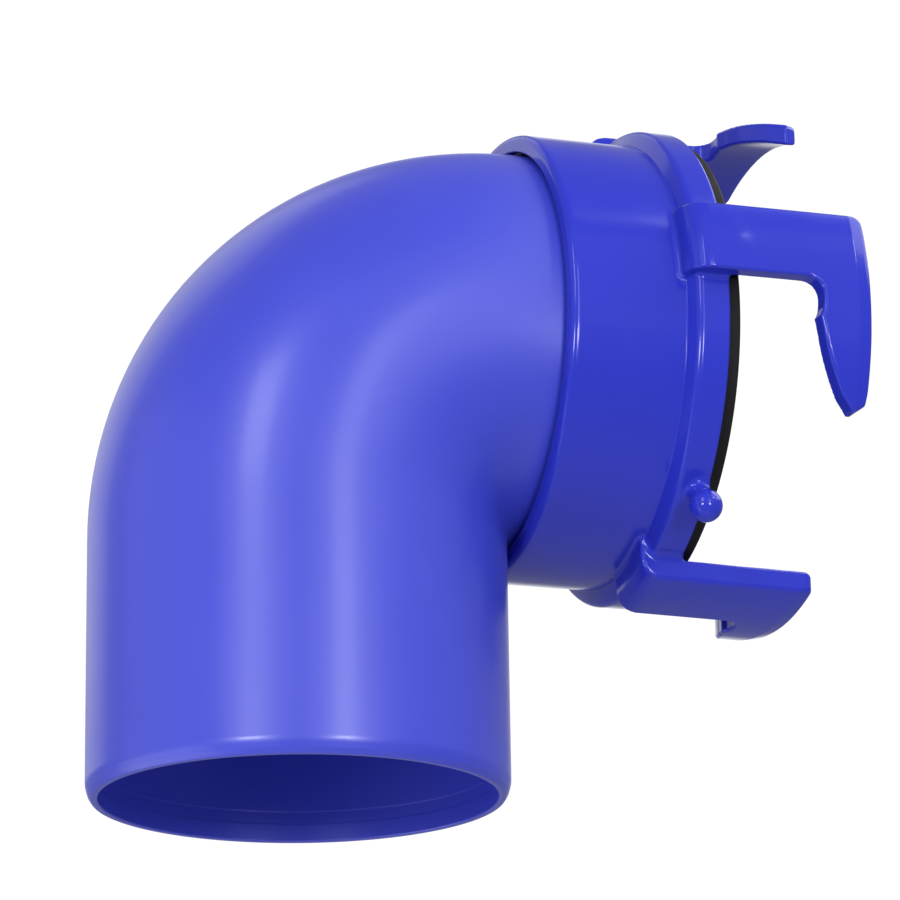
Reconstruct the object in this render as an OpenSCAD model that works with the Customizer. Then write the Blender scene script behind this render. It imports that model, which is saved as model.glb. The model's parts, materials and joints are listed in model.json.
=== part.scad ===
// Swivel bayonet elbow for a 3 inch sewer hose.
// Origin: centre of the spigot's open end. +Z runs up the spigot, +X along the arm.

/* [Elbow] */
// Outside diameter of the pipe
pipe_d = 88.9; // [80:0.1:100]
// Thickness of the pipe's wall
pipe_wall = 2.7; // [2:0.1:4]
// Radius of the bend, to the pipe's centreline
bend_r = 45; // [45:1:90]
// Straight length of the spigot below the bend
spigot_len = 56; // [30:1:120]
// Rounding of the spigot's edges
rim_round = 1.1; // [0.5:0.1:1.2]

/* [Collar] */
// Length of the collar without its hooks
collar_len = 34.1; // [30:0.1:45]
// Outside diameter of the collar's band
band_d = 98; // [97:0.1:104]
// Outside diameter of the ring at the collar's front
ring_d = 105; // [104:0.1:112]
// Width of the ring
ring_w = 7.5; // [6:0.1:10]
// Clearance between the collar's rear lip and the pipe, all round
lip_gap = 1.1; // [0.8:0.1:1.3]

/* [Hooks] */
// Number of hooks
hook_count = 4; // [2:1:4]
// Reach of the hooks past the ring
hook_reach = 30.2; // [26:0.1:40]
// Thickness of the hooks
hook_t = 4.3; // [3:0.1:6]
// Width of a hook's arm
hook_arm_w = 15.8; // [10:0.1:20]
// Width of the open mouth in front of the claw's nose
mouth_w = 19.2; // [12:0.1:22]
// Diameter of the ball knob on the ring
knob_d = 7.1; // [5:0.1:9]

/* [Seals] */
// Outside diameter of the face gasket
gasket_d = 101.6; // [98:0.1:103]
// Thickness of the face gasket
gasket_t = 2.9; // [2:0.1:5]
// Section of the O-ring behind the collar's lip
rear_section = 2.4; // [1.6:0.1:2.4]
// Section of the O-ring on the sleeve
front_section = 1.4; // [1:0.1:1.4]

/* [Hidden] */
$fn = 128;
arc_steps = 5;

blue = [0.20, 0.22, 0.80];
black = [0.05, 0.05, 0.06];
natural = [0.88, 0.88, 0.84];

// Clearance between parts that turn on each other
running_gap = 0.3;
// Clearance between an O-ring and the part that slides on it
seal_gap = 0.1;
// Gap that the solvent cement fills
cement_gap = 0.05;

pipe_r = pipe_d / 2;
bore_r = pipe_r - pipe_wall;
arm_z = spigot_len + bend_r;

// The collar, along the arm
lip_x = bend_r + 0.2;
lip_w = 2;
ring_front = lip_x + collar_len;
ring_rear = ring_front - ring_w;
ring_slope = 1.2;
band_r = band_d / 2;
ring_r = ring_d / 2;
edge = 1.5;
lip_r = pipe_r + lip_gap;
band_wall = 2.4;
cavity_r = band_r - band_wall;
ring_wall = 2.1;
counterbore_r = ring_r - ring_wall;
shoulder_x = ring_rear + 0.4;

// The O-ring behind the lip, in the collar's groove
rear_groove_x = lip_x + lip_w;
rear_groove_w = rear_section + 0.4;
rear_groove_r = pipe_r + seal_gap + rear_section + 0.05;
rib_x = rear_groove_x + rear_groove_w + 1.5;

// The cemented end flange
sleeve_x = rib_x + 0.8;
sleeve_r = cavity_r - running_gap;
washer_t = 1.4;
flange_x = shoulder_x + washer_t + running_gap;
flange_front = ring_front + 0.2;
flange_r = counterbore_r - running_gap;
pipe_end = flange_front - 3.2;
key_r = 47.4;
key_w = 2.4;
key_depth = 1.8;
front_groove_x = ring_rear - 5;
front_groove_w = front_section + 0.4;

gasket_front = flange_front + gasket_t;
gasket_in_r = bore_r + 0.8;

// The hooks
hook_out_r = ring_r + 0.2 + hook_t;
hook_in_r = ring_r + 0.2;
hook_front = ring_front + hook_reach;
pad_x = ring_rear - 1.8;
pad_round = 4.5;
front_bevel = 0.5;
arm_low = 4.9;
arm_high = arm_low + hook_arm_w;
claw_rear = ring_front + mouth_w;
knob_angle = -46.5;
knob_x = ring_front - 2;
knob_centre_r = ring_r + 5.7;
stalk_d = 4.6;

// Points of an arc, from the first angle to the second
function arc(x, y, r, from, to) =
    [for (i = [0 : arc_steps]) let (a = from + (to - from) * i / arc_steps) [x + r * cos(a), y + r * sin(a)]];

// Turns a profile of [radius, distance along the arm] about the arm's axis
module about_arm() {
    translate([0, 0, arm_z]) rotate([0, 90, 0]) rotate_extrude() children();
}

// Puts its children where the hook or knob at this angle stands: [along, sideways, radial].
// Angle 0 faces -Y and angle 90 faces up.
module at_angle(angle) {
    translate([0, 0, arm_z]) rotate([-angle, 0, 0]) rotate([90, 0, 0]) children();
}

// A ring of round section about the arm
module o_ring(x, inner_r, section) {
    about_arm() translate([inner_r + section / 2, x]) circle(d = section, $fn = 32);
}

module spigot() {
    rotate_extrude() polygon(concat(
        arc(bore_r + rim_round, rim_round, rim_round, 180, 270),
        arc(pipe_r - rim_round, rim_round, rim_round, 270, 360),
        [[pipe_r, spigot_len], [bore_r, spigot_len]]
    ));
}

module bend() {
    translate([bend_r, 0, spigot_len])
        rotate([90, -90, 0])
            rotate_extrude(angle = 90)
                translate([bend_r, 0])
                    difference() {
                        circle(r = pipe_r);
                        circle(r = bore_r);
                    }
}

module arm() {
    about_arm() polygon([
        [bore_r, bend_r], [pipe_r, bend_r], [pipe_r, pipe_end], [bore_r, pipe_end]
    ]);
}

// Moulded elbow: spigot, bend and the straight arm that the collar turns on
module elbow_pipe() {
    color(blue) union() {
        spigot();
        bend();
        arm();
    }
}

// Flanged sleeve, cemented on the arm's end once the collar is on. It holds the collar and the gasket.
module end_flange() {
    groove_r = sleeve_r - front_section + 0.2;
    color(blue) about_arm() polygon([
        [pipe_r + cement_gap, sleeve_x],
        [sleeve_r, sleeve_x],
        [sleeve_r, front_groove_x],
        [groove_r, front_groove_x],
        [groove_r, front_groove_x + front_groove_w],
        [sleeve_r, front_groove_x + front_groove_w],
        [sleeve_r, flange_x],
        [flange_r, flange_x],
        [flange_r, flange_front],
        [key_r + key_w / 2, flange_front],
        [key_r + key_w / 2, flange_front - key_depth],
        [key_r - key_w / 2, flange_front - key_depth],
        [key_r - key_w / 2, flange_front],
        [bore_r, flange_front],
        [bore_r, pipe_end],
        [pipe_r + cement_gap, pipe_end]
    ]);
}

// Rubber face gasket, keyed into the flange
module face_gasket() {
    color(black) about_arm() polygon(concat(
        [
            [gasket_in_r, flange_front],
            [key_r - key_w / 2, flange_front],
            [key_r - key_w / 2, flange_front - key_depth],
            [key_r + key_w / 2, flange_front - key_depth],
            [key_r + key_w / 2, flange_front]
        ],
        [[gasket_d / 2, flange_front]],
        arc(gasket_d / 2 - 0.6, gasket_front - 0.6, 0.6, 0, 90),
        arc(gasket_in_r + 0.6, gasket_front - 0.6, 0.6, 90, 180)
    ));
}

// O-ring in the sleeve's groove, which steadies the collar's front
module front_o_ring() {
    color(black)
        o_ring(front_groove_x + front_groove_w / 2, cavity_r - seal_gap - front_section, front_section);
}

// O-ring in the collar's groove, which wipes the arm
module rear_o_ring() {
    color(black)
        o_ring(rear_groove_x + rear_groove_w / 2, pipe_r + seal_gap, rear_section);
}

// Acetal washer between the collar's shoulder and the flange
module glide_washer() {
    color(natural) about_arm() polygon([
        [cavity_r + running_gap, shoulder_x],
        [counterbore_r - running_gap, shoulder_x],
        [counterbore_r - running_gap, shoulder_x + washer_t],
        [cavity_r + running_gap, shoulder_x + washer_t]
    ]);
}

// The band and ring, without hooks
module collar_body() {
    about_arm() polygon(concat(
        [[lip_r, lip_x]],
        arc(band_r - edge, lip_x + edge, edge, 270, 360),
        [[band_r, ring_rear - ring_slope]],
        arc(ring_r - edge, ring_rear + edge, edge, 315, 360),
        [
            [ring_r, ring_front],
            [counterbore_r, ring_front],
            [counterbore_r, shoulder_x],
            [cavity_r, shoulder_x],
            [cavity_r, rib_x],
            [lip_r, rib_x],
            [lip_r, rear_groove_x + rear_groove_w],
            [rear_groove_r, rear_groove_x + rear_groove_w],
            [rear_groove_r, rear_groove_x],
            [lip_r, rear_groove_x]
        ]
    ));
}

// The curved plate that every hook is cut from: thick over the ring, thinner past it
module hook_plate() {
    root_r = ring_r - 1;
    about_arm() polygon(concat(
        [[band_r - 1, pad_x]],
        arc(hook_out_r - pad_round, pad_x + pad_round, pad_round, 270, 360),
        [
            [hook_out_r, hook_front - 3],
            [hook_out_r - front_bevel, hook_front],
            [hook_in_r, hook_front],
            [hook_in_r, ring_front],
            [root_r, ring_front],
            [root_r, shoulder_x - 0.1],
            [band_r - 1, shoulder_x - 0.1]
        ]
    ));
}

// The outline of one hook, as [along the arm, sideways]: arm, front edge, tip, ramp, nose and recess
module hook_outline() {
    corner = 2.2;
    tip = 0.8;
    front = hook_front - 0.4;
    recess = claw_rear + 0.85;
    fillet = 3.6;
    polygon(concat(
        [[pad_x - 1, arm_low], [pad_x - 1, arm_high]],
        arc(hook_front - corner, arm_high - corner, corner, 90, 0),
        [[front, -18.5]],
        arc(front - 1.1, -20.7, tip, 0, -60),
        arc(front - 2.4, -21.8, tip, -60, -150),
        [[claw_rear + 6, -19.6], [claw_rear + 4.9, -17.8], [claw_rear + 3.25, -14.6]],
        [[claw_rear + 1.75, -10.5], [claw_rear + 0.65, -6.4]],
        arc(claw_rear + 0.5, -3.5, 0.5, 190, 130),
        [[recess - 0.2, -1.9], [recess, 0.2]],
        arc(recess - fillet, arm_low - fillet, fillet, 0, 90)
    ));
}

module hook(angle) {
    reach_r = hook_out_r + 3;
    intersection() {
        hook_plate();
        at_angle(angle) translate([0, 0, 25]) linear_extrude(reach_r - 25) hook_outline();
    }
}

module knob() {
    at_angle(knob_angle) translate([knob_x, 0, 0]) {
        translate([0, 0, ring_r - 1]) cylinder(d = stalk_d, h = knob_centre_r - ring_r + 1, $fn = 32);
        translate([0, 0, knob_centre_r]) sphere(d = knob_d, $fn = 48);
    }
}

// Moulded collar that swivels on the arm, with its hooks and knob
module bayonet_collar() {
    color(blue) union() {
        collar_body();
        for (i = [0 : hook_count - 1]) hook(i * 360 / hook_count);
        knob();
    }
}

elbow_pipe();
end_flange();
face_gasket();
front_o_ring();
bayonet_collar();
glide_washer();
rear_o_ring();
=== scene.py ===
"""Looks for the swivel bayonet elbow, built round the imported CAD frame."""

import json
import math

import bpy
import numpy as np
from mathutils import Matrix, Vector


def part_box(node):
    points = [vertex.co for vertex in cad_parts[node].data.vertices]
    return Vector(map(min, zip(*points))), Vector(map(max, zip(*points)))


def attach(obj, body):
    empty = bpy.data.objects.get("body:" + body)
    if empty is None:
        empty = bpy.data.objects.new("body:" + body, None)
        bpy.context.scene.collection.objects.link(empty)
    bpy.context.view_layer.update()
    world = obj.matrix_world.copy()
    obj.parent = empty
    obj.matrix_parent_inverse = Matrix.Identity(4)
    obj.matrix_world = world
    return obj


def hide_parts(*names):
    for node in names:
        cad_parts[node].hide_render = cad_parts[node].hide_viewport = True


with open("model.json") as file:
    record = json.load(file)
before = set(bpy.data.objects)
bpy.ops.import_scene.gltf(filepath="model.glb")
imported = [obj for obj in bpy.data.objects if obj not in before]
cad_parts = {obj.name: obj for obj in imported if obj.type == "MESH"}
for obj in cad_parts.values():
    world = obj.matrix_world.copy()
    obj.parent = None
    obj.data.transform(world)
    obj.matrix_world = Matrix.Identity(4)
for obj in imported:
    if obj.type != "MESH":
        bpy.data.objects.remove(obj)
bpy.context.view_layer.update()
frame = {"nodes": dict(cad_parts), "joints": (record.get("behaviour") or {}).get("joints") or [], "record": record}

# ---------------------------------------------------------------- sizes
# in millimetres, but for those whose names end in _M
MM = 0.001
MOUNTS = {mount["name"]: mount for mount in frame["record"]["mounts"]}
SWIVEL = frame["joints"][0]


def node_box(name):
    """The lowest and highest corners of a CAD node, in millimetres."""
    low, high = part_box(name)
    return low / MM, high / MM


PIPE_R = MOUNTS["spigot"]["dims"]["r_mm"]
BORE_R = MOUNTS["spigot_bore"]["dims"]["r_mm"]
ARM_Z = MOUNTS["front_bore"]["pos_m"][2] / MM
BEND_R = SWIVEL["pos_m"][0] / MM
SPIGOT = ARM_Z - BEND_R
BEND_LEN = BEND_R * math.pi / 2
GASKET_FRONT = MOUNTS["gasket_face"]["pos_m"][0] / MM

collar_low, collar_high = node_box("bayonet_collar")
flange_low, flange_high = node_box("end_flange")
gasket_low, gasket_high = node_box("face_gasket")
wiper_low, wiper_high = node_box("rear_o_ring")

PIPE_END = node_box("elbow_pipe")[1].x
LIP_X = collar_low.x
HOOK_FRONT = collar_high.x
HOOK_OUT_R = collar_high.z - ARM_Z
FLANGE_FRONT = flange_high.x
SLEEVE_REAR = flange_low.x
SHOULDER_X = node_box("glide_washer")[0].x
GASKET_R = gasket_high.z - ARM_Z
GASKET_BACK = gasket_low.x

# the collar's ring and band, as in the CAD
HOOK_T = 4.3
HOOK_IN_R = HOOK_OUT_R - HOOK_T
RING_R = HOOK_IN_R - 0.2
RING_FRONT = FLANGE_FRONT - 0.2
RING_W = 7.5
RING_REAR = RING_FRONT - RING_W
RING_LEAN = 2.2  # how much the ring's rear slope rises, for each millimetre along
RING_DROP = 1.2  # how far below the ring's rim that slope is, at RING_REAR
BAND_R = 49.0
BAND_ROUND = 1.6

# the inside of the collar
LIP_R = PIPE_R + 0.7
CAVITY_R = BAND_R - 2.4
COUNTERBORE_R = RING_R - 2.1
GROOVE_R = PIPE_R + 2.55
GROOVE_GAP = 0.2
INNER_EDGE = 0.4

# the hooks: a pad over the ring, then an arm that splays outwards and turns sideways into a claw
PAD_X = RING_REAR - 1.8
PAD_ROUND = 4.5
SPLAY = 0.5
BEVEL = 0.7
BOW = 0.25  # how far the claw's front edge bows forwards
ARM_LOW = 4.9
ARM_HIGH = 20.8
NOSE_X = RING_FRONT + 18.55
RAMP_START = 6.4
RAMP_LEN = 13.2
CROWN_X = RING_FRONT + 0.4
CROWN = 0.22
CROWN_REACH = 3.0
EDGE = 0.7
FILLET = 1.4

# the ball knob
KNOB_R = 3.55
KNOB_X = RING_FRONT - 2
KNOB_CENTRE_R = RING_R + 5.7
KNOB_ANGLE = math.radians(-46.5)
NECK_R = 2.3
NECK_FILLET = 0.8
KNOB_FILLET = 1.6

# the gasket's opening and its rib
GASKET_BORE_R = BORE_R + 0.8
RIB_IN_R = 46.2
RIB_OUT_R = 48.6


# ---------------------------------------------------------------- mesh helpers
def new_object(name, points_mm, faces, normals):
    """A smooth mesh object, from points in millimetres in the CAD's frame, and their normals."""
    mesh = bpy.data.meshes.new(name)
    mesh.from_pydata((np.asarray(points_mm) * MM).tolist(), [], [list(map(int, f)) for f in faces])
    mesh.update()
    mesh.shade_smooth()
    mesh.normals_split_custom_set_from_vertices(np.asarray(normals).tolist())
    obj = bpy.data.objects.new(name, mesh)
    bpy.context.scene.collection.objects.link(obj)
    return obj


def rounded_profile(corners, longest=None):
    """Points and outward normals along a closed outline of (along, radius, rounding) corners.

    The corners run so that the solid lies on their right. Where longest is given, no step is longer."""
    steps = 5
    points, normals = [], []
    count = len(corners)
    for i, (u, v, rounding) in enumerate(corners):
        here = np.array([u, v])
        back = np.array(corners[i - 1][:2]) - here
        ahead = np.array(corners[(i + 1) % count][:2]) - here
        back /= np.linalg.norm(back)
        ahead /= np.linalg.norm(ahead)
        normal_in = np.array([back[1], -back[0]])
        normal_out = np.array([-ahead[1], ahead[0]])
        half = math.acos(np.clip(back @ ahead, -1, 1)) / 2
        middle = (back + ahead) / np.linalg.norm(back + ahead)
        centre = here + middle * rounding / math.sin(half)
        outward = -1 if normal_in @ middle > 0 else 1
        for k in range(steps + 1):
            t = k / steps
            normal = normal_in * (1 - t) + normal_out * t
            normal /= np.linalg.norm(normal)
            points.append(centre + outward * normal * rounding)
            normals.append(normal)
    points, normals = np.array(points), np.array(normals)
    if longest is None:
        return points, normals
    fine_p, fine_n = [], []
    for i in range(len(points)):
        a, b = points[i], points[(i + 1) % len(points)]
        na, nb = normals[i], normals[(i + 1) % len(points)]
        pieces = max(1, int(math.ceil(np.linalg.norm(b - a) / longest)))
        for k in range(pieces):
            t = k / pieces
            fine_p.append(a * (1 - t) + b * t)
            fine_n.append(na * (1 - t) + nb * t)
    return np.array(fine_p), np.array(fine_n)


def straight_axis(along):
    """Centre, tangent and outward direction on the arm's axis, where along is the X coordinate."""
    return np.array([along, 0, ARM_Z]), np.array([1.0, 0, 0]), np.array([0, 0, 1.0])


def elbow_axis(along):
    """The same on the elbow's centreline, where along is the distance from the spigot's open end."""
    if along <= SPIGOT:
        return np.array([0, 0, along]), np.array([0, 0, 1.0]), np.array([-1.0, 0, 0])
    if along >= SPIGOT + BEND_LEN:
        return straight_axis(BEND_R + along - SPIGOT - BEND_LEN)
    turn = (along - SPIGOT) / BEND_R
    c, s = math.cos(turn), math.sin(turn)
    centre = np.array([BEND_R - BEND_R * c, 0, SPIGOT + BEND_R * s])
    return centre, np.array([s, 0, c]), np.array([-c, 0, s])


def swept(name, profile, axis=straight_axis, around=144):
    """A closed outline of (along, radius) carried round an axis."""
    points, normals = profile
    angles = np.arange(around) * 2 * math.pi / around
    side = np.array([0, 1.0, 0])
    verts, vert_normals = [], []
    for (along, radius), (n_along, n_radius) in zip(points, normals):
        centre, tangent, outward = axis(along)
        spokes = np.outer(np.cos(angles), outward) + np.outer(np.sin(angles), side)
        verts.append(centre + radius * spokes)
        vert_normals.append(n_radius * spokes + n_along * tangent)
    rings = len(points)
    faces = []
    for i in range(rings):
        j = (i + 1) % rings
        for a in range(around):
            b = (a + 1) % around
            faces.append((i * around + a, j * around + a, j * around + b, i * around + b))
    return new_object(name, np.concatenate(verts), faces, np.concatenate(vert_normals))


# ---------------------------------------------------------------- the collar as a distance field
def box_field(u, v, u0, u1, v0, v1, rounding):
    """Signed distance to a rectangle with rounded corners."""
    du = np.abs(u - (u0 + u1) / 2) - (u1 - u0) / 2 + rounding
    dv = np.abs(v - (v0 + v1) / 2) - (v1 - v0) / 2 + rounding
    return np.hypot(np.maximum(du, 0), np.maximum(dv, 0)) + np.minimum(np.maximum(du, dv), 0) - rounding


def polygon_field(u, v, corners):
    """Signed distance to a polygon."""
    nearest = np.full(u.shape, 1e9)
    inside = np.zeros(u.shape, bool)
    count = len(corners)
    for i in range(count):
        (u0, v0), (u1, v1) = corners[i], corners[(i + 1) % count]
        du, dv = u1 - u0, v1 - v0
        t = np.clip(((u - u0) * du + (v - v0) * dv) / (du * du + dv * dv), 0, 1)
        nearest = np.minimum(nearest, np.hypot(u - u0 - t * du, v - v0 - t * dv))
        crosses = (v0 > v) != (v1 > v)
        if dv:
            inside ^= crosses & (u < u0 + (v - v0) * du / dv)
    return np.where(inside, -nearest, nearest)


def blend_min(a, b, width):
    """Union of two fields with a fillet about as wide as width."""
    h = np.clip(0.5 + 0.5 * (b - a) / width, 0, 1)
    return b * (1 - h) + a * h - width * h * (1 - h)


def rounded_meet(a, b, rounding):
    """Intersection of two fields with a rounded edge."""
    a, b = a + rounding, b + rounding
    return np.hypot(np.maximum(a, 0), np.maximum(b, 0)) + np.minimum(np.maximum(a, b), 0) - rounding


def arc(u, v, radius, start, end):
    """Points on an arc about (u, v), between two angles in degrees."""
    angles = np.radians(np.linspace(start, end, 7))
    return [(u + radius * math.cos(a), v + radius * math.sin(a)) for a in angles]


def hook_outline():
    """A hook laid flat, as (along, sideways): arm, front edge, tip, ramp, nose and recess."""
    corner, tip, nose, fillet = 2.2, 0.8, 0.5, 3.6
    behind, front, recess = PAD_X - 3, HOOK_FRONT + 0.8 * BOW, NOSE_X + 0.85
    ramp = [
        (NOSE_X + 0.65 + 0.17 * t + 0.0151 * t * t, -RAMP_START - t)
        for t in np.linspace(RAMP_LEN, 0, 14)]
    return (
        [(behind, ARM_LOW), (behind, ARM_HIGH)]
        + arc(front - corner, ARM_HIGH - corner, corner, 90, 0)
        + [(HOOK_FRONT + BOW, 4), (front, -8), (HOOK_FRONT, -18.8)]
        + arc(HOOK_FRONT - 1.1, -20.9, tip, 0, -60)
        + arc(HOOK_FRONT - 2.9, -22.1, tip, -60, -150)
        + ramp
        + arc(NOSE_X + nose, -3.5, nose, 190, 130)
        + [(recess - 0.2, -1.9), (recess, 0.2)]
        + arc(recess - fillet, ARM_LOW - fillet, fillet, 0, 90)
    )


def hook_profile():
    """The hook's section, as (along, radius): a pad over the ring, then the plate.

    It ends past the outline's front edge, which is what cuts the plate off."""
    root, past = BAND_R - 2, HOOK_FRONT + 1
    return (
        [(PAD_X, root)]
        + arc(PAD_X + PAD_ROUND, HOOK_OUT_R - PAD_ROUND, PAD_ROUND, 180, 90)
        + [(HOOK_FRONT - 3, HOOK_OUT_R + SPLAY), (past, HOOK_OUT_R + SPLAY - BEVEL)]
        + [(past, HOOK_IN_R + SPLAY), (RING_FRONT, HOOK_IN_R), (RING_FRONT, root)]
    )


OUTLINE = hook_outline()
PROFILE = hook_profile()
KNOB_AXIS = np.array([0, -math.cos(KNOB_ANGLE), math.sin(KNOB_ANGLE)])
KNOB = np.array([KNOB_X, 0, 0]) + KNOB_CENTRE_R * KNOB_AXIS


def collar_field(points):
    """Signed distance to the collar, for points in millimetres from the arm's axis."""
    x, y, z = points[..., 0], points[..., 1], points[..., 2]
    r = np.hypot(y, z)
    far = BAND_R + 30

    def disc(start, end, radius, rounding=0):
        return box_field(x, r, start, end, -far, radius, rounding)

    rear_slope = (
        (RING_REAR + 0.1 - x) * RING_LEAN + (r - RING_R + RING_DROP)) / math.hypot(RING_LEAN, 1)
    ring = rounded_meet(disc(RING_REAR - 1.4, RING_FRONT, RING_R, 0.45), rear_slope, 0.9)
    body = np.minimum(disc(LIP_X, RING_REAR + 3, BAND_R, BAND_ROUND), ring)

    angle = np.arctan2(z, -y)
    turned = angle - np.round(angle / (math.pi / 2)) * math.pi / 2
    sideways = r * np.sin(turned)
    off_crown = np.hypot(x - CROWN_X, sideways - (ARM_LOW + ARM_HIGH) / 2)
    hook = rounded_meet(
        polygon_field(x, sideways, OUTLINE), polygon_field(x, r, PROFILE), EDGE)
    hook = hook - CROWN * np.exp(-(off_crown / CROWN_REACH) ** 2)
    body = blend_min(body, hook, FILLET)

    from_knob = points - KNOB
    up = from_knob @ KNOB_AXIS
    off_axis = np.linalg.norm(from_knob - up[..., None] * KNOB_AXIS, axis=-1)
    ball = np.linalg.norm(from_knob, axis=-1) - KNOB_R
    neck = np.maximum(off_axis - NECK_R, np.maximum(up, -KNOB_CENTRE_R + RING_R - 1 - up))
    body = blend_min(body, blend_min(ball, neck, NECK_FILLET), KNOB_FILLET)

    hollow = disc(LIP_X - 20, RING_FRONT + 60, LIP_R)
    hollow = np.minimum(hollow, disc(SLEEVE_REAR - 0.8, SHOULDER_X + 2, CAVITY_R))
    hollow = np.minimum(hollow, disc(SHOULDER_X, RING_FRONT + 60, COUNTERBORE_R))
    hollow = np.minimum(hollow, disc(wiper_low.x - GROOVE_GAP, wiper_high.x + GROOVE_GAP, GROOVE_R))
    return rounded_meet(body, -hollow, INNER_EDGE)


def graded(stops):
    """Grid lines from (position, spacing up to the next stop) pairs."""
    lines = []
    for (start, spacing), (end, _) in zip(stops, stops[1:]):
        count = max(1, round((end - start) / spacing))
        lines += list(start + (end - start) * np.arange(count) / count)
    return np.array(lines + [stops[-1][0]])


CELL_CORNERS = np.array([(i, j, k) for i in (0, 1) for j in (0, 1) for k in (0, 1)])
CELL_EDGES = [
    (a, b) for a in range(8) for b in range(a + 1, 8)
    if np.abs(CELL_CORNERS[a] - CELL_CORNERS[b]).sum() == 1]


def surface_net(values):
    """Vertices, in steps of the grid, and quads of the zero surface. The second axis wraps round."""
    count = values.shape[1]
    wrapped = np.concatenate([values, values[:, :1]], axis=1)
    cells = np.array(wrapped.shape) - 1
    inside = wrapped < 0
    total = sum(
        inside[i:i + cells[0], j:j + cells[1], k:k + cells[2]].astype(np.int8)
        for i, j, k in CELL_CORNERS)
    active = np.argwhere((total > 0) & (total < 8))
    at_corner = [wrapped[tuple((active + corner).T)] for corner in CELL_CORNERS]
    place, hits = np.zeros(active.shape), np.zeros(len(active))
    for a, b in CELL_EDGES:
        crosses = (at_corner[a] < 0) != (at_corner[b] < 0)
        fall = np.where(crosses, at_corner[a] - at_corner[b], 1)
        t = np.where(crosses, at_corner[a] / fall, 0)
        step = CELL_CORNERS[a] + t[:, None] * (CELL_CORNERS[b] - CELL_CORNERS[a])
        place += np.where(crosses[:, None], step, 0)
        hits += crosses
    vertices = active + place / hits[:, None]
    number = np.full(cells, -1)
    number[tuple(active.T)] = np.arange(len(active))
    quads = []
    for axis in range(3):
        first = np.take(inside, range(cells[axis]), axis)
        second = np.take(inside, range(1, cells[axis] + 1), axis)
        found = np.argwhere(first != second)
        found = found[found[:, 1] < count]
        others = [o for o in range(3) if o != axis]
        for o in others:
            if o != 1:
                found = found[(found[:, o] > 0) & (found[:, o] < cells[o])]
        ring = []
        for da, db in ((1, 1), (0, 1), (0, 0), (1, 0)):
            cell = found.copy()
            cell[:, others[0]] -= da
            cell[:, others[1]] -= db
            cell[:, 1] %= count
            ring.append(number[tuple(cell.T)])
        quad = np.stack(ring, axis=1)
        outward = first[tuple(found.T)] != (axis == 1)
        quads.append(np.where(outward[:, None], quad, quad[:, ::-1]))
    return vertices, np.concatenate(quads)


def slope(field, points):
    """The field's gradient, by central differences."""
    reach = 0.02
    return np.stack([
        (field(points + step) - field(points - step)) / (2 * reach)
        for step in np.eye(3) * reach], axis=-1)


def build_collar():
    """The collar's surface, from a grid in (along, angle, radius) laid over its distance field.

    The grid is fine where the ring, the hooks and the knob need it, and its vertices are then
    moved on to the surface."""
    fine = 0.55
    along = graded([
        (LIP_X - 1, fine), (LIP_X + 7, 4 * fine), (RING_REAR - 4, fine), (RING_FRONT + 3, 2 * fine),
        (NOSE_X - 2, fine), (HOOK_FRONT + 1, fine)])
    quarter = graded([
        (-50.5, 0.9 * fine), (-42.5, 2 * fine), (-26, fine), (24, 2 * fine), (39.5, 0)])[:-1]
    angle = np.radians(np.concatenate([quarter + 90 * i for i in range(4)]))
    radius = graded([(LIP_R - 1, fine), (HOOK_OUT_R + 1, fine), (KNOB_CENTRE_R + KNOB_R + 1, 0)])
    x, a, r = np.meshgrid(along, angle, radius, indexing="ij")
    values = collar_field(np.stack([x, -r * np.cos(a), r * np.sin(a)], axis=-1))
    vertices, quads = surface_net(values)
    x = np.interp(vertices[:, 0], np.arange(len(along)), along)
    a = np.interp(vertices[:, 1], np.arange(len(angle) + 1), np.append(angle, angle[0] + 2 * math.pi))
    r = np.interp(vertices[:, 2], np.arange(len(radius)), radius)
    points = np.stack([x, -r * np.cos(a), r * np.sin(a)], axis=-1)
    for _ in range(4):
        gradient = slope(collar_field, points)
        steep = (gradient ** 2).sum(1, keepdims=True).clip(0.2)
        move = collar_field(points)[:, None] * gradient / steep
        points = points - np.clip(move, -0.3, 0.3)
    normals = slope(collar_field, points)
    normals /= np.linalg.norm(normals, axis=1, keepdims=True)
    return new_object("collar_moulding", points + np.array([0, 0, ARM_Z]), quads, normals)


# ---------------------------------------------------------------- materials
class Nodes:
    """A new node material and short ways to add nodes to it."""

    def __init__(self, name):
        self.material = bpy.data.materials.new(name)
        self.material.use_nodes = True
        self.tree = self.material.node_tree
        self.shader = self.tree.nodes["Principled BSDF"]

    def add(self, kind, inputs=None, **settings):
        node = self.tree.nodes.new(kind)
        for key, value in settings.items():
            setattr(node, key, value)
        for key, value in (inputs or {}).items():
            if isinstance(value, bpy.types.NodeSocket):
                self.tree.links.new(value, node.inputs[key])
            else:
                node.inputs[key].default_value = value
        return node

    def noise(self, scale, detail, roughness):
        place = self.add("ShaderNodeTexCoord").outputs["Object"]
        inputs = {"Scale": scale, "Detail": detail, "Roughness": roughness, "Vector": place}
        return self.add("ShaderNodeTexNoise", inputs).outputs["Fac"]

    def mix(self, factor, a, b):
        """A colour between a and b."""
        inputs = {"Factor": factor, "A": [*a, 1], "B": [*b, 1]}
        return self.add("ShaderNodeMix", inputs, data_type="RGBA").outputs["Result"]

    def spread(self, value, low, high):
        """Maps a 0 to 1 value to a narrower range."""
        node = self.add("ShaderNodeMapRange", {"Value": value, "To Min": low, "To Max": high})
        return node.outputs["Result"]

    def link(self, value, socket):
        self.tree.links.new(value, self.shader.inputs[socket])

    def bump(self, height, distance, below=None):
        inputs = {"Height": height, "Distance": distance, "Strength": 1}
        if below is not None:
            inputs["Normal"] = below
        return self.add("ShaderNodeBump", inputs).outputs["Normal"]


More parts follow.
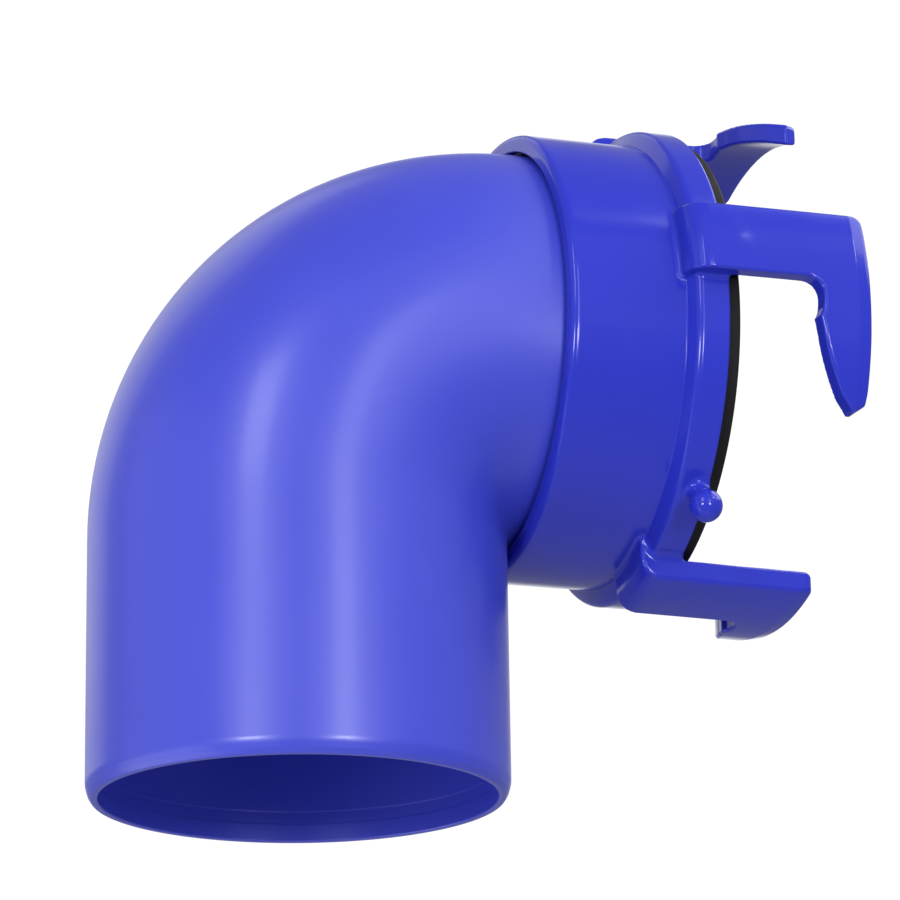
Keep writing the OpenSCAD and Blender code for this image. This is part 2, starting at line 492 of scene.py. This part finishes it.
def moulded_plastic(name, colour, roughness, shine, skin, ripple, grain):
    """Solid moulded plastic: faint colour drift, uneven gloss, slow ripple and fine grain.

    Skin is the weight of the glossy coat. Ripple and grain are depths in metres."""
    m = Nodes(name)
    light = [min(1, c * 1.07) for c in colour]
    dark = [c * 0.93 for c in colour]
    m.link(m.mix(m.noise(22, 3, 0.55), dark, light), "Base Color")
    m.link(m.spread(m.noise(60, 4, 0.6), roughness * 0.85, roughness * 1.15), "Roughness")
    wave = m.bump(m.noise(45, 1.5, 0.4), ripple)
    m.link(m.bump(m.noise(2600, 3, 0.6), grain, below=wave), "Normal")
    m.shader.inputs["Specular IOR Level"].default_value = shine
    m.shader.inputs["Coat Weight"].default_value = skin
    m.shader.inputs["Coat Roughness"].default_value = 0.16
    return m.material


def rubber(name, colour, roughness, shine):
    """Black moulded rubber: dusty bloom and a fine matt grain."""
    m = Nodes(name)
    m.link(m.mix(m.noise(90, 5, 0.65), colour, [c * 1.6 + 0.002 for c in colour]), "Base Color")
    m.link(m.spread(m.noise(300, 3, 0.6), roughness * 0.85, roughness * 1.15), "Roughness")
    m.link(m.bump(m.noise(3500, 4, 0.7), 0.00003), "Normal")
    m.shader.inputs["Specular IOR Level"].default_value = shine
    return m.material


ELBOW_BLUE = moulded_plastic(
    "elbow_blue", [0.036, 0.050, 0.53],
    roughness=0.36, shine=0.62, skin=0.2, ripple=0.00010, grain=0.000006)
COLLAR_BLUE = moulded_plastic(
    "collar_blue", [0.022, 0.032, 0.46],
    roughness=0.14, shine=0.3, skin=0, ripple=0.00016, grain=0.000004)
GASKET_RUBBER = rubber("gasket_rubber", [0.005, 0.005, 0.006], roughness=0.55, shine=0.15)
SEAL_RUBBER = rubber("seal_rubber", [0.008, 0.008, 0.009], roughness=0.35, shine=0.3)
ACETAL = moulded_plastic(
    "natural_acetal", [0.78, 0.78, 0.72],
    roughness=0.4, shine=0.5, skin=0, ripple=0.00004, grain=0.000004)


# ---------------------------------------------------------------- pieces
def dress(obj, material):
    obj.data.materials.clear()
    obj.data.materials.append(material)


def finish_piece(obj, material, body, node):
    dress(obj, material)
    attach(obj, body)
    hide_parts(node)


def build_elbow():
    """The elbow's wall, with a rounded rim and a low step inside the open end."""
    end = SPIGOT + BEND_LEN + PIPE_END - BEND_R
    step_r = BORE_R + 0.05
    profile = rounded_profile([
        (0, BORE_R, 0.45), (0, PIPE_R - 1.3, 0.5), (1.0, PIPE_R - 0.6, 1.5), (2.9, PIPE_R, 5.5),
        (end, PIPE_R, 0.3), (end, BORE_R, 0.3),
        (6.9, BORE_R, 0.6), (6.5, step_r, 0.6), (4.2, step_r, 0.6), (3.8, BORE_R, 0.6)],
        longest=1.8)
    return swept("elbow_moulding", profile, elbow_axis)


def build_gasket():
    """The gasket, with the rib on its back that keys it to the flange."""
    profile = rounded_profile([
        (FLANGE_FRONT, GASKET_BORE_R, 0.3), (FLANGE_FRONT, RIB_IN_R, 0.2),
        (GASKET_BACK, RIB_IN_R, 0.3), (GASKET_BACK, RIB_OUT_R, 0.3),
        (FLANGE_FRONT, RIB_OUT_R, 0.2), (FLANGE_FRONT, GASKET_R, 0.3),
        (GASKET_FRONT, GASKET_R, 0.7), (GASKET_FRONT, GASKET_BORE_R, 0.6)])
    return swept("gasket_moulding", profile)


finish_piece(build_elbow(), ELBOW_BLUE, "elbow", "elbow_pipe")
finish_piece(build_collar(), COLLAR_BLUE, "collar", "bayonet_collar")
finish_piece(build_gasket(), GASKET_RUBBER, "elbow", "face_gasket")
for name, material in (
        ("end_flange", ELBOW_BLUE), ("front_o_ring", SEAL_RUBBER), ("rear_o_ring", SEAL_RUBBER),
        ("glide_washer", ACETAL)):
    dress(frame["nodes"][name], material)

# ---------------------------------------------------------------- camera
CAMERA_M = Vector((-0.25875, -0.85951, -0.19929))
YAW, PITCH, ROLL = math.radians(18.84), math.radians(17.05), math.radians(-0.87)
FORWARD = Vector((
    math.sin(YAW) * math.cos(PITCH), math.cos(YAW) * math.cos(PITCH), math.sin(PITCH)))


def add_camera():
    """The camera at the photograph's angle: low, to the left of the part, and looking up at it."""
    data = bpy.data.cameras.new("camera")
    data.sensor_width = 36
    data.lens = 175.9
    data.clip_start, data.clip_end = 0.05, 50
    camera = bpy.data.objects.new("camera", data)
    bpy.context.scene.collection.objects.link(camera)
    level = Vector((math.cos(YAW), -math.sin(YAW), 0))
    upright = level.cross(FORWARD)
    right = math.cos(ROLL) * level + math.sin(ROLL) * upright
    up = -math.sin(ROLL) * level + math.cos(ROLL) * upright
    turned = Matrix((right, up, -FORWARD)).transposed().to_4x4()
    camera.matrix_world = Matrix.Translation(CAMERA_M) @ turned
    bpy.context.scene.camera = camera


# ---------------------------------------------------------------- stage and light
TARGET_M = Vector((0.04, 0, 0.08))
LIGHTS_AWAY_M = 1.2
FLOOR_Z_M = -1.2
FLOOR_SIZE_M = 40


def add_softbox(name, azimuth, elevation, wide, high, brightness):
    """A softbox that faces the part and looks wide by high degrees from there.

    Azimuth 0 is straight in front, at -Y, and positive is to the right. Brightness is that of
    the softbox's face, whatever its size."""
    data = bpy.data.lights.new(name, "AREA")
    data.shape = "RECTANGLE"
    data.size = 2 * LIGHTS_AWAY_M * math.tan(math.radians(wide / 2))
    data.size_y = 2 * LIGHTS_AWAY_M * math.tan(math.radians(high / 2))
    data.energy = brightness * math.pi * data.size * data.size_y
    light = bpy.data.objects.new(name, data)
    light.visible_camera = False
    bpy.context.scene.collection.objects.link(light)
    a, e = math.radians(azimuth), math.radians(elevation)
    direction = Vector((math.sin(a) * math.cos(e), -math.cos(a) * math.cos(e), math.sin(e)))
    light.location = TARGET_M + direction * LIGHTS_AWAY_M
    light.rotation_euler = direction.to_track_quat("Z", "Y").to_euler()


def add_floor():
    """A pale floor, well below the part because the camera looks up at it."""
    bpy.ops.mesh.primitive_plane_add(size=FLOOR_SIZE_M, location=(0, 0, FLOOR_Z_M))
    floor = bpy.context.object
    floor.name = "floor"
    m = Nodes("pale_floor")
    m.link(m.mix(m.noise(3, 2, 0.5), [0.83] * 3, [0.87] * 3), "Base Color")
    m.shader.inputs["Roughness"].default_value = 0.9
    m.shader.inputs["Specular IOR Level"].default_value = 0
    floor.data.materials.append(m.material)


def add_surround(dim, bright, inner, outer):
    """A studio that is dim all round but for a white backdrop behind the part.

    The backdrop is white out to inner degrees from the camera's axis, and has faded to dim by
    outer degrees."""
    world = bpy.data.worlds.new("surround")
    bpy.context.scene.world = world
    world.use_nodes = True
    tree = world.node_tree
    direction = tree.nodes.new("ShaderNodeTexCoord")
    toward = tree.nodes.new("ShaderNodeVectorMath")
    toward.operation = "DOT_PRODUCT"
    tree.links.new(direction.outputs["Generated"], toward.inputs[0])
    toward.inputs[1].default_value = FORWARD
    ramp = tree.nodes.new("ShaderNodeMapRange")
    ramp.interpolation_type = "SMOOTHSTEP"
    tree.links.new(toward.outputs["Value"], ramp.inputs["Value"])
    ramp.inputs["From Min"].default_value = math.cos(math.radians(outer))
    ramp.inputs["From Max"].default_value = math.cos(math.radians(inner))
    ramp.inputs["To Min"].default_value = dim
    ramp.inputs["To Max"].default_value = bright
    tree.links.new(ramp.outputs["Result"], tree.nodes["Background"].inputs["Strength"])
    tree.nodes["Background"].inputs["Color"].default_value = (1, 1, 1, 1)


add_camera()
add_floor()
add_surround(dim=0.33, bright=1.04, inner=8.5, outer=21)
# the keys are small and bright, and make the highlights
add_softbox("left_key", -42, 27, 12, 24, 6.6)
add_softbox("left_low_key", -42, -3, 12, 9, 28)
add_softbox("middle_key", 6, 9, 11, 44, 3.6)
add_softbox("middle_low_key", 6, -3, 11, 9, 25)
add_softbox("small_key", 42, 39, 5, 9, 24)
# the rest are broad and dimmer, and fill the shadows
add_softbox("rim_box", -158, 34, 34, 56, 0.66)
add_softbox("front_fill", -5, 28, 84, 50, 0.3)
add_softbox("left_fill", -95, 12, 50, 44, 0.4)
add_softbox("right_fill", 84, 46, 50, 38, 3.3)
add_softbox("low_left_fill", -98, -31, 56, 40, 1.4)
bpy.context.scene.view_settings.view_transform = "Standard"
